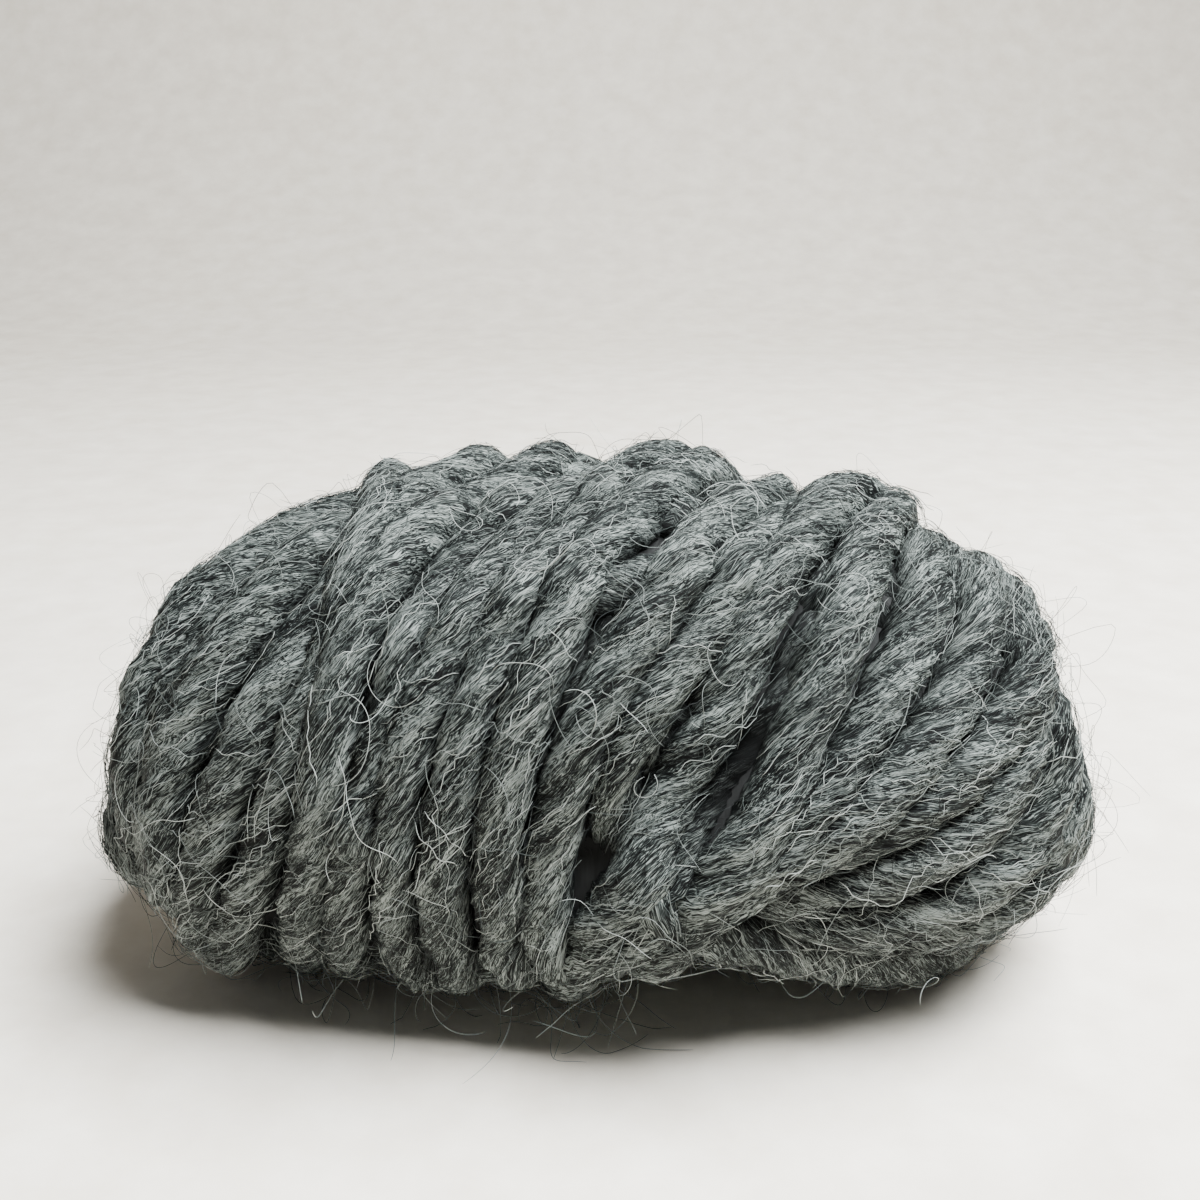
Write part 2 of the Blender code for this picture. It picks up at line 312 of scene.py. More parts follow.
def plane_normal(lean, swing):
    """The direction square to a turn's plane: leaned from the long axis, then swung round it."""
    lean, swing = math.radians(lean), math.radians(swing)
    return np.array([
        math.cos(lean),
        math.sin(lean) * math.cos(swing),
        math.sin(lean) * math.sin(swing),
    ])


class Turn:
    """One turn of roving: where its middle runs over the ball and how high its back lies."""

    def __init__(self, side, angle, back, width, sideways):
        self.side, self.angle, self.back = side, angle, back
        self.width, self.sideways = width, sideways


class Winding:
    """A height map over the ball's form, onto which turns are laid one after another."""

    def __init__(self, form):
        self.form = form
        first, last = form.side[0] + END_MARGIN, form.side[-1] - END_MARGIN
        self.side = np.linspace(first, last, MAP_ROWS)
        self.angle = np.linspace(-math.pi, math.pi, MAP_COLUMNS, endpoint=False)
        side, angle = np.meshgrid(self.side, self.angle, indexing="ij")
        self.point = form.point(side, angle)
        self.normal = form.normal(side, angle)
        self.height = np.zeros(side.shape)
        self.veil = self.height
        self.turns = []

    def lay(self, lean, swing, shift, width, bend=0.0, bend_at=0.0):
        """Lays one turn: it rests on what is under it, bridges dips and stands up as a ridge."""
        laid = len(self.turns)
        normal = plane_normal(lean, swing)
        bend_at = math.radians(bend_at)

        def stray(turn):
            wander = WANDER * np.sin(3 * turn + 1.7 * laid)
            wander = wander + 0.6 * WANDER * np.sin(7 * turn + 2.9 * laid)
            return wander + bend * np.cos(2 * (turn - bend_at))

        slope = np.sqrt(np.maximum(1 - (self.normal @ normal) ** 2, STEEPEST_SLOPE ** 2))
        first = np.cross(normal, [0.0, 0.0, 1.0])
        first /= np.linalg.norm(first)
        second = np.cross(normal, first)
        spoke = self.point - normal * shift
        turn = np.arctan2(spoke @ second, spoke @ first)
        offset = (self.point @ normal - shift) / slope
        offset = offset - stray(turn)

        place = (turn + math.pi) / TAU * STEPS_ROUND_TURN
        step = place.astype(int) % STEPS_ROUND_TURN
        under = np.abs(offset) < FOOTPRINT * width
        count = np.bincount(step[under], minlength=STEPS_ROUND_TURN)
        total = np.bincount(step[under], weights=self.height[under], minlength=STEPS_ROUND_TURN)
        highest = np.full(STEPS_ROUND_TURN, -99.0)
        np.maximum.at(highest, step[under], self.height[under])
        met = count > 0
        seat = (1 - HIGHEST_SHARE) * total / np.maximum(count, 1) + HIGHEST_SHARE * highest
        steps = np.arange(STEPS_ROUND_TURN)
        seat = np.interp(steps, steps[met], seat[met], period=STEPS_ROUND_TURN)
        snug = blur_round(seat, SEAT_SNUG) - SNUG_DEPTH
        seat = np.maximum(blur_round(seat, SEAT_LOOSE), snug)

        before = np.floor(place - 0.5).astype(int)
        share = place - 0.5 - before
        below = seat[before % STEPS_ROUND_TURN] * (1 - share)
        below = below + seat[(before + 1) % STEPS_ROUND_TURN] * share
        half = width / 2
        dome = ROVING_THICKNESS * np.sqrt(np.maximum(1 - (offset / half) ** 2, 0.0))
        ridge = np.where(np.abs(offset) < half, below + dome - ROVING_SINK, self.height)
        self.height = np.maximum(self.height, ridge)
        self.turns.append(self.trace(normal, shift, width, first, second, seat, stray))

    def trace(self, normal, shift, width, first, second, seat, stray):
        """The line that the turn's back follows, one point for each step."""
        steps = (np.arange(STEPS_ROUND_TURN) + 0.5) / STEPS_ROUND_TURN * TAU - math.pi
        spoke = np.cos(steps)[:, None] * first + np.sin(steps)[:, None] * second
        point = self.form.reach_from(normal * shift, spoke)
        turn = steps
        for _ in range(8):
            out = self.form.normal(*self.form.place_of(point))
            sideways = unit(normal - out * (out @ normal)[:, None])
            slope = np.maximum(np.sqrt(1 - (out @ normal) ** 2), STEEPEST_SLOPE)
            missing = stray(turn) - (point @ normal - shift) / slope
            point = point + sideways * missing[:, None]
            point = self.form.point(*self.form.place_of(point))
            spoke = point - normal * shift
            turn = np.arctan2(spoke @ second, spoke @ first)
        side, angle = self.form.place_of(point)
        back = np.interp(turn, steps, seat, period=TAU) + ROVING_THICKNESS - ROVING_SINK
        return Turn(side, angle, back, width, sideways)

    def press(self, limit):
        """The next layer presses this one: its swells go and its ridges keep up to the limit."""
        swell = blur_map(self.height, LAYER_BLUR)
        level = swell.mean()
        self.height = swell - level + limit * np.tanh((self.height - swell) / limit)
        for turn in self.turns:
            under = self.read(swell, turn.side, turn.angle)
            turn.back = under - level + limit * np.tanh((turn.back - under) / limit)

    def even_out(self):
        """The finished ball is round: only the ridges and grooves are left."""
        swell = blur_map(self.height, WIDE_BLUR)
        ring = np.repeat(self.height.mean(1, keepdims=True), MAP_COLUMNS, 1)
        radius = np.linalg.norm(self.point[:, :, 1:], axis=-1).mean(1)
        near_end = np.clip(1 - (radius / DIMPLE_RADIUS) ** 2, 0, 1)[:, None]
        swell = swell * (1 - near_end) + blur_map(ring, DIMPLE_BLUR) * near_end
        relief = blur_map(self.limit(self.height - swell), FUR_BLUR)
        floor = np.clip(1 - (radius / DIMPLE_FLOOR) ** 2, 0, 1)[:, None]
        level = np.repeat(relief.mean(1, keepdims=True), MAP_COLUMNS, 1)
        self.height = relief * (1 - floor) + level * floor
        floor = np.repeat(floor, MAP_COLUMNS, 1)
        for turn in self.turns:
            place = (turn.side, turn.angle)
            back = self.limit(turn.back - self.read(swell, *place))
            share = self.read(floor, *place)
            turn.back = back * (1 - share) + self.read(level, *place) * share

    def limit(self, relief):
        ridge = RIDGE_HEIGHT * np.tanh(relief / RIDGE_HEIGHT)
        groove = GROOVE_DEPTH * np.tanh(relief / GROOVE_DEPTH)
        return np.where(relief > 0, ridge, groove)

    def read(self, height, side, angle):
        """A map's value at any place, between its own points."""
        row = np.interp(side, self.side, np.arange(MAP_ROWS))
        column = (angle + math.pi) / TAU * MAP_COLUMNS
        row_0 = np.minimum(row.astype(int), MAP_ROWS - 2)
        column_0 = np.floor(column).astype(int)
        up, on = row - row_0, column - column_0
        left, right = column_0 % MAP_COLUMNS, (column_0 + 1) % MAP_COLUMNS
        low = height[row_0, left] * (1 - on) + height[row_0, right] * on
        high = height[row_0 + 1, left] * (1 - on) + height[row_0 + 1, right] * on
        return low * (1 - up) + high * up


def wind_ball():
    winding = Winding(BallForm())
    for turn in range(LENGTHWISE_TURNS):
        swing = LENGTHWISE_START + turn * 360.0 / LENGTHWISE_TURNS
        shift = LENGTHWISE_SHIFT if turn % 2 == 0 else -LENGTHWISE_SHIFT
        winding.lay(LENGTHWISE_LEAN, swing, shift, COMMON_WIDTH)
    winding.press(PRESSED_LENGTHWISE)
    for turn in range(CROSSWISE_TURNS):
        shift = (turn - (CROSSWISE_TURNS - 1) / 2) * CROSSWISE_PITCH
        winding.lay(CROSSWISE_LEAN, CROSSWISE_SWING, shift, COMMON_WIDTH)
    winding.press(PRESSED_CROSSWISE)
    for (lean, swing, width), shifts in (
        (LEFT_FILL, LEFT_FILL_SHIFTS),
        (MIDDLE_FILL, MIDDLE_FILL_SHIFTS),
        (RIGHT_FILL, RIGHT_FILL_SHIFTS),
    ):
        for shift in shifts:
            winding.lay(lean, swing, shift, width)
    winding.press(PRESSED_FILLING)
    for turn in OUTER_TURNS:
        winding.lay(*turn)
    winding.even_out()
    winding.veil = blur_map(winding.height, VEIL_BLUR)
    return winding


class Rest:
    """Sets the wound form down: presses its underside flat and moves it to its place."""

    def __init__(self, winding):
        place = winding.point + winding.normal * winding.height[..., None]
        place = place.reshape(-1, 3)
        self.middle = (place.min(0) + place.max(0)) / 2

    def down(self, point):
        point = np.array(point, dtype=float)
        above = (point[..., 2] + REST_DEPTH) / REST_SOFTNESS
        point[..., 2] = REST_SOFTNESS * np.logaddexp(0.0, above) - FLAT_SHAVE
        point[..., :2] -= self.middle[:2]
        point[..., 2] = np.maximum(point[..., 2], STRAND_FLOOR)
        return point

    def centre(self):
        return np.array([-self.middle[0], -self.middle[1], REST_DEPTH - FLAT_SHAVE])


class Strand:
    """A stretch of one turn that shows, as a line of sections: centre, forward, out, across."""

    def __init__(self, form, turn, steps, closed, number):
        side, angle = turn.side[steps], turn.angle[steps]
        self.out = form.normal(side, angle)
        base = form.point(side, angle)
        self.centre = base + self.out * (turn.back[steps] - HALF_THICKNESS)[:, None]
        if closed:
            forward = np.roll(self.centre, -1, 0) - np.roll(self.centre, 1, 0)
        else:
            forward = np.gradient(self.centre, axis=0)
        self.forward = unit(forward)
        self.out = unit(self.out - self.forward * (self.out * self.forward).sum(1)[:, None])
        self.across = np.cross(self.forward, self.out)
        self.half_width = turn.width / 2
        self.closed = closed
        self.number = number
        ends = self.centre if not closed else np.concatenate([self.centre, self.centre[:1]])
        gaps = np.linalg.norm(np.diff(ends, axis=0), axis=1)
        self.along = np.concatenate([[0.0], np.cumsum(gaps)])
        self.length = self.along[-1]

    def at(self, values, along):
        """A value of each section, at any distance along the strand."""
        if self.closed:
            along = along % self.length
            values = np.concatenate([values, values[:1]])
        return np.stack([np.interp(along, self.along, column) for column in values.T], -1)


def stretches(shown):
    """Splits a closed ring of flags into runs of steps that show."""
    count = len(shown)
    if shown.all():
        return [(np.arange(count), True)]
    if not shown.any():
        return []
    start = int(np.argmin(shown))
    turned = np.roll(shown, -start)
    runs, run = [], []
    for step in range(count):
        if turned[step]:
            run.append((step + start) % count)
        elif run:
            runs.append((np.array(run), False))
            run = []
    if run:
        runs.append((np.array(run), False))
    return runs


def strands_that_show(winding):
    """Each turn's stretches that aren't buried under later turns."""
    strands = []
    for number, turn in enumerate(winding.turns):
        shown = np.zeros(STEPS_ROUND_TURN, dtype=bool)
        base = winding.form.point(turn.side, turn.angle)
        for share in (-0.7, -0.35, 0.0, 0.35, 0.7):
            beside = base + turn.sideways * (share * turn.width / 2)
            place = winding.form.place_of(beside)
            drop = HALF_THICKNESS * (1 - math.sqrt(1 - share ** 2))
            above = turn.back - drop - winding.read(winding.height, *place)
            shown |= above > -BURIED_BY
        for _ in range(MARGIN_STEPS):
            shown |= np.roll(shown, 1) | np.roll(shown, -1)
        for steps, closed in stretches(shown):
            if closed:
                steps = steps[::STEPS_PER_RING]
            else:
                steps = np.append(steps[:-1:STEPS_PER_RING], steps[-1])
            if len(steps) > FEWEST_STEPS:
                strands.append(Strand(winding.form, turn, steps, closed, number))
    return strands


def linear(hex_colour):
    """An sRGB hex colour as linear RGBA."""
    channels = [int(hex_colour[i:i + 2], 16) / 255 for i in (0, 2, 4)]
    lifted = [c / 12.92 if c <= 0.04045 else ((c + 0.055) / 1.055) ** 2.4 for c in channels]
    return (*lifted, 1.0)


def new_object(name, data):
    """A new object in the scene, at the origin."""
    thing = bpy.data.objects.new(name, data)
    bpy.context.scene.collection.objects.link(thing)
    return thing


def face_outwards(shape):
    """Turns the faces of closed shapes outwards, once their points are in place."""
    shape.normal_update()
    bmesh.ops.recalc_face_normals(shape, faces=shape.faces)


def finished_object(name, shape, material):
    """Makes a bmesh a smooth-shaded object of one material."""
    for face in shape.faces:
        face.smooth = True
    mesh = bpy.data.meshes.new(name)
    shape.to_mesh(mesh)
    shape.free()
    mesh.materials.append(material)
    return new_object(name, mesh)


def fibre_section(name, radius):
    """A fibre's outline: a triangle, enough for something this thin. It runs clockwise, so that
    the faces swept from it point outwards."""
    points = [(radius * math.cos(TAU * k / 3), -radius * math.sin(TAU * k / 3)) for k in range(3)]
    data = bpy.data.curves.new(name, "CURVE")
    data.dimensions = "2D"
    spline = data.splines.new("POLY")
    spline.points.add(len(points) - 1)
    for point, (x, y) in zip(spline.points, points):
        point.co = (x * MM, y * MM, 0.0, 1.0)
    spline.use_cyclic_u = True
    return new_object(name, data)


def swept_mesh(name, lines, profile, materials):
    """Sweeps the profile along every line, a dict of points (mm), radius and shade."""
    data = bpy.data.curves.new(name, "CURVE")
    data.dimensions = "3D"
    data.twist_mode = "MINIMUM"
    data.bevel_mode = "OBJECT"
    data.bevel_object = profile
    data.use_fill_caps = True
    for material in materials:
        data.materials.append(material)
    for line in lines:
        points = line["points"]
        spline = data.splines.new("POLY")
        spline.points.add(len(points) - 1)
        places = np.ones((len(points), 4))
        places[:, :3] = points * MM
        spline.points.foreach_set("co", places.ravel())
        spline.points.foreach_set("radius", line["radius"])
        spline.material_index = line["shade"]
    sweep = new_object(name + "_sweep", data)
    graph = bpy.context.evaluated_depsgraph_get()
    mesh = bpy.data.meshes.new_from_object(sweep.evaluated_get(graph))
    mesh.name = name
    bpy.data.objects.remove(sweep)
    bpy.data.curves.remove(data)
    weld_caps(mesh)
    return new_object(name, mesh)


def weld_caps(mesh):
    """Joins each fibre's end caps to its sides."""
    joined = bmesh.new()
    joined.from_mesh(mesh)
    bmesh.ops.remove_doubles(joined, verts=joined.verts, dist=5e-7)
    for face in joined.faces:
        face.smooth = True
    joined.to_mesh(mesh)
    joined.free()


def roll_up_strands(name, strands, winding, rest, material):
    """Each strand starts as a flat grid, is rolled round its line with the twist, and closed."""
    tube = bmesh.new()
    painted_shade_depth = tube.verts.layers.float.new("painted_shade_depth")
    tube.loops.layers.uv.new("strand")
    lay = tube.verts.layers.float_vector.new("lay")
    for strand in strands:
        rings = len(strand.centre) if strand.closed else len(strand.centre) - 1
        made = bmesh.ops.create_grid(
            tube, x_segments=rings, y_segments=SECTION_POINTS, size=0.5, calc_uvs=True
        )
        flat = np.array([vertex.co for vertex in made["verts"]]) + 0.5
        ring = np.rint(flat[:, 0] * rings).astype(int)
        theta = np.rint(flat[:, 1] * SECTION_POINTS) / SECTION_POINTS * TAU
        along = strand.along[ring]
        at = ring % len(strand.centre)
        turns = strand.length / TWIST_PITCH
        if strand.closed:
            turns = max(round(turns), 1)
        phi = theta + TAU * turns * along / strand.length + strand.number
        bulge = 1 + LOBE_DEPTH * np.cos(LOBES * theta) + LOBE_DEPTH * 0.6 * np.cos(3 * theta + 1.0)
        swell = 1 + SWELL_DEPTH * np.sin(along / SWELL_LENGTH + strand.number)
        bulge = bulge * swell
        if not strand.closed:
            to_end = np.minimum(along, strand.length - along)
            bulge = bulge * np.clip(to_end / TAPER_LENGTH + TAPER_END, 0, 1)
        place = strand.centre[at]
        place = place + strand.across[at] * (strand.half_width * bulge * np.sin(phi))[:, None]
        place = place + strand.out[at] * (HALF_THICKNESS * bulge * np.cos(phi))[:, None]
        height, spot = height_over_form(winding, place)
        # painted shade: the deeper a point lies below the softened heights, the nearer to black
        # the strand's colour
        depth = np.clip((winding.read(winding.veil, *spot) - height) / GROOVE_SHADE_DEPTH, 0.0, 1.0)
        # a turn that is crossed gives way under the one that lies over it
        covered = winding.read(winding.height, *spot) - height - COVERED_FROM
        covered = np.clip(covered, 0.0, COVERED_MOST)
        place = place - winding.form.normal(*spot) * (GIVES_WAY * covered)[:, None]
        place = rest.down(place) * MM
        radius = (strand.half_width + HALF_THICKNESS) / 2
        run = along + STRAND_SPACING * strand.number
        where = np.stack([run, radius * np.cos(theta), radius * np.sin(theta)], -1) * MM
        for vertex, co, told, deep in zip(made["verts"], place, where, depth):
            vertex.co = co
            vertex[lay] = told
            vertex[painted_shade_depth] = deep
    bmesh.ops.remove_doubles(tube, verts=tube.verts, dist=2e-6)
    rims = [edge for edge in tube.edges if edge.is_boundary]
    bmesh.ops.holes_fill(tube, edges=rims, sides=0)
    face_outwards(tube)
    return finished_object(name, tube, material)


def make_core(winding, rest, material):
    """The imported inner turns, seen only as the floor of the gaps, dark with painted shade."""
    core = bmesh.new()
    bmesh.ops.create_uvsphere(core, u_segments=72, v_segments=54, radius=1.0)
    direction = np.array([vertex.co for vertex in core.verts])
    down_the_side = np.arccos(np.clip(-direction[:, 2], -1.0, 1.0)) / math.pi
    first, last = winding.side[0], winding.side[-1]
    side = first + down_the_side * (last - first)
    angle = np.arctan2(direction[:, 1], -direction[:, 0])
    calm = winding.veil - CORE_DEPTH
    place = winding.form.point(side, angle)
    place = place + winding.form.normal(side, angle) * winding.read(calm, side, angle)[:, None]
    place = rest.down(place)
    place[:, 2] = np.maximum(place[:, 2], CORE_FLOOR)
    for vertex, co in zip(core.verts, place * MM):
        vertex.co = co
    face_outwards(core)
    return finished_object("inner_turns", core, material)


def height_over_form(winding, point):
    """How high a point lies over the ball's smooth form, and its place there."""
    place = winding.form.place_of(point)
    out = winding.form.normal(*place)
    return ((point - winding.form.point(*place)) * out).sum(-1), place


def fibres_on_strand(winding, strand, count, rest, random, kind):
    """The fibres of one strand that show, each with its own slope, crimp, bow and tips."""
    points = kind["points"]
    share = np.linspace(-0.5, 0.5, points)[None, :]
    radius = (strand.half_width + HALF_THICKNESS) / 2
    reach = random.uniform(*kind["length"], count)
    start = random.uniform(0, strand.length, count)
    phi_0 = random.normal(0, ROUND_STRAND, count)
    pitch = math.atan(TAU * radius / TWIST_PITCH)
    pitch = pitch + random.normal(0, kind["spread"], count)
    astray = random.random(count) < kind["astray"]
    pitch = pitch + astray * random.normal(0, FAR_ASTRAY, count)
    wave = random.uniform(*kind["wave"], count)
    crimp = random.uniform(*kind["crimp"], count)
    phase = random.uniform(0, TAU, count)
    bow = random.normal(0, BOW, count)
    lift = random.uniform(0.0, kind["lift"], count)
    tip = random.exponential(kind["tip"], (count, 2))
    run = share * reach[:, None]
    wiggle = crimp[:, None] * np.sin(TAU * run / wave[:, None] + phase[:, None])
    wiggle = wiggle + bow[:, None] * run ** 2
    slant, rise = np.cos(pitch)[:, None], np.sin(pitch)[:, None]
    along = start[:, None] + run * slant - wiggle * rise
    phi = phi_0[:, None] + (run * rise + wiggle * slant) / radius
    raised = lift[:, None] + tip[:, :1] * np.clip(-2 * share, 0, 1) ** 2
    raised = raised + tip[:, 1:] * np.clip(2 * share, 0, 1) ** 2
    raised = raised + CRIMP_RISE * crimp[:, None] * np.cos(TAU * run / wave[:, None] + 2.0)
    inside = np.ones(count, dtype=bool)
    if not strand.closed:
        inside = along.min(axis=1) > END_CLEARANCE
        inside &= along.max(axis=1) < strand.length - END_CLEARANCE
        along = np.clip(along, 0, strand.length)
    shape = (count, points, 3)
    centre = strand.at(strand.centre, along.ravel()).reshape(shape)
    out = strand.at(strand.out, along.ravel()).reshape(shape)
    across = strand.at(strand.across, along.ravel()).reshape(shape)
    wide = (strand.half_width + raised) * np.sin(phi)
    high = (HALF_THICKNESS + raised) * np.cos(phi)
    place = centre + across * wide[..., None] + out * high[..., None]
    height, where = height_over_form(winding, place[:, points // 2])
    shows = height > winding.read(winding.height, *where) - kind["depth"]
    place = rest.down(place)
    place[..., 2] = np.maximum(place[..., 2], FIBRE_FLOOR)
    shade = random.choice(len(kind["shares"]), count, p=kind["shares"])
    # painted shade: fibres deep in a groove are given darker colours
    painted_shade_depth = winding.read(winding.veil, *where) - height
    shade = np.where(painted_shade_depth > DARK_BELOW, shade // 2, shade)
    shade = np.where(painted_shade_depth > DARKEST_BELOW, 0, shade)
    kept = np.flatnonzero(shows & inside)
    return [{"points": place[one], "shade": int(shade[one])} for one in kept]


def strand_fibres(winding, strands, rest, random, kind):
    """Fibres that lie along the twist of their strand, shared out by the strands' lengths."""
    lengths = np.array([strand.length for strand in strands])
    lines = []
    while len(lines) < kind["count"]:
        wanted = random.multinomial(kind["count"], lengths / lengths.sum())
        for strand, count in zip(strands, wanted):
            if count > 0:
                lines += fibres_on_strand(winding, strand, count, rest, random, kind)
    order = random.permutation(len(lines))[:kind["count"]]
    thin = np.array([0.35] + [1.0] * (kind["points"] - 2) + [0.35])
    chosen = [lines[i] for i in order]
    for line in chosen:
        line["radius"] = thin * random.uniform(0.7, 1.25)
    return chosen


def loose_fibres(winding, rest, random):
    """The halo: long smooth curls that wander over the ball and stand away from it."""
    count = HALO_COUNT
    direction = unit(random.normal(size=(count, 3)))
    low = random.random(count) < LOW_SHARE
    direction[low, 2] = -0.30 - 0.50 * random.random(low.sum())
    ends = random.random(count) < END_SHARE
    direction[ends, 0] = np.sign(direction[ends, 0]) * 2.0
    start = unit(direction) * np.array([HALF_LENGTH, HALF_DEPTH, HALF_HEIGHT])
    fuzz = np.maximum(winding.height, blur_map(winding.height, HALO_BLUR) + 0.4)
    side, angle = winding.form.place_of(start)
    out = winding.form.normal(side, angle)
    heading = unit(np.cross(out, random.normal(size=(count, 3))))
    length = random.uniform(*HALO_LENGTH, count)
    step = length / (HALO_POINTS - 1)
    rise = random.exponential(HALO_RISE, count) + HALO_RISE_LEAST
    rise = np.minimum(rise, HALO_RISE_MOST)
    looped = random.random(count) < LOOPED_SHARE
    curl = random.normal(0, HALO_CURL, count)
    wave = random.uniform(*HALO_WAVE, count)
    swing = random.uniform(*HALO_SWING, count)
    phase = random.uniform(0, TAU, count)
    lean = random.uniform(0.25, 0.75, count)
    place = winding.form.point(side, angle)
    lines = np.zeros((count, HALO_POINTS, 3))
    for point in range(HALO_POINTS):
        share = point / (HALO_POINTS - 1)
        side, angle = winding.form.place_of(place)
        out = winding.form.normal(side, angle)
        surface = winding.form.point(side, angle)
        arch = np.sin(math.pi * share ** lean) ** 1.3
        lift = np.where(looped, arch, share ** 1.6) * rise
        off = winding.read(fuzz, side, angle) + lift + FIBRE_FLOOR
        lines[:, point] = surface + out * off[:, None]
        spin = step * (curl + swing * np.cos(TAU * point * step / wave + phase))
        heading = unit(heading - out * (heading * out).sum(1)[:, None])
        aside = np.cross(out, heading)
        heading = heading * np.cos(spin)[:, None] + aside * np.sin(spin)[:, None]
        place = surface + heading * step[:, None]
    # fine fibres bridge the grooves instead of dipping into them
    smooth = lines.copy()
    for _ in range(2):
        smooth[:, 1:-1] = (smooth[:, :-2] + 2 * smooth[:, 1:-1] + smooth[:, 2:]) / 4
    placed = rest.down(smooth)
    placed[..., 2] = np.maximum(placed[..., 2], LOOSE_FLOOR)
    thin = np.array([1.0] * (HALO_POINTS - 2) + [0.8, 0.4])
    return [
        {
            "points": placed[one],
            "shade": int(random.choice(len(HALO_SHARES), p=HALO_SHARES)),
            "radius": thin * random.uniform(0.8, 1.25),
        }
        for one in range(count)
    ]


def hanging_fibres(winding, rest, random):
    """Longer fibres that have worked loose along the lower front and hang down in curls."""
    count = HANGING_COUNT
    near = random.random(count) < 0.5
    across = np.where(near, random.normal(-5.0, 9.0, count), random.uniform(-60, 56, count))
    down = random.uniform(*HANGING_DOWN, count)
    front = np.stack([
        across, -HALF_DEPTH * np.sqrt(1 - down ** 2), -HALF_HEIGHT * down
    ], -1)
    side, angle = winding.form.place_of(front)
    out = winding.form.normal(side, angle)
    place = winding.form.point(side, angle)
    place = place + out * winding.read(winding.height, side, angle)[:, None]
    heading = unit(out + random.normal(0, 0.6, (count, 3)))
    axis = unit(random.normal(size=(count, 3)) + np.array([0.0, 0.8, 0.0]))
    curl = random.uniform(*HANGING_CURL, count) * random.choice([-1, 1], count)
    step = random.uniform(*HANGING_LENGTH, count) / (HANGING_POINTS - 1)
    lines = np.zeros((count, HANGING_POINTS, 3))
    for point in range(HANGING_POINTS):
        lines[:, point] = place
        turned = heading + np.cross(axis, heading) * (curl * step)[:, None]
        heading = unit(turned - np.array([0.0, 0.0, HANGING_DRAW]))
        place = place + heading * step[:, None]
    placed = rest.down(lines)
    placed[..., 2] = np.maximum(placed[..., 2], LOOSE_FLOOR)
    thin = np.array([1.0] * (HANGING_POINTS - 2) + [0.8, 0.4])
    shades = random.choice(len(HALO_SHARES), count, p=HALO_SHARES)
    thin = thin * HANGING_THICKNESS
    return [
        {"points": placed[one], "shade": int(shades[one]), "radius": thin} for one in range(count)
    ]


def add_node(tree, kind, settings=None, links=None):
    """Adds a node, sets its sockets and properties, and links its inputs, by name or number."""
    node = tree.nodes.new(kind)
    for name, value in (settings or {}).items():
        if isinstance(name, int) or name in node.inputs:
            node.inputs[name].default_value = value
        else:
            setattr(node, name, value)
    for name, socket in (links or {}).items():
        tree.links.new(socket, node.inputs[name])
    return node


def new_material(name):
    """A new material, its node tree and its surface shader."""
    material = bpy.data.materials.new(name)
    material.use_nodes = True
    return material, material.node_tree, material.node_tree.nodes["Principled BSDF"]


def set_ramp(ramp, stops):
    """Gives a colour ramp its stops, each a position and a hex colour."""
    band = ramp.color_ramp
    while len(band.elements) > len(stops):
        band.elements.remove(band.elements[-1])
    while len(band.elements) < len(stops):
        band.elements.new(0.5)
    for element, (position, colour) in zip(band.elements, stops):
        element.position = position
        element.color = linear(colour)


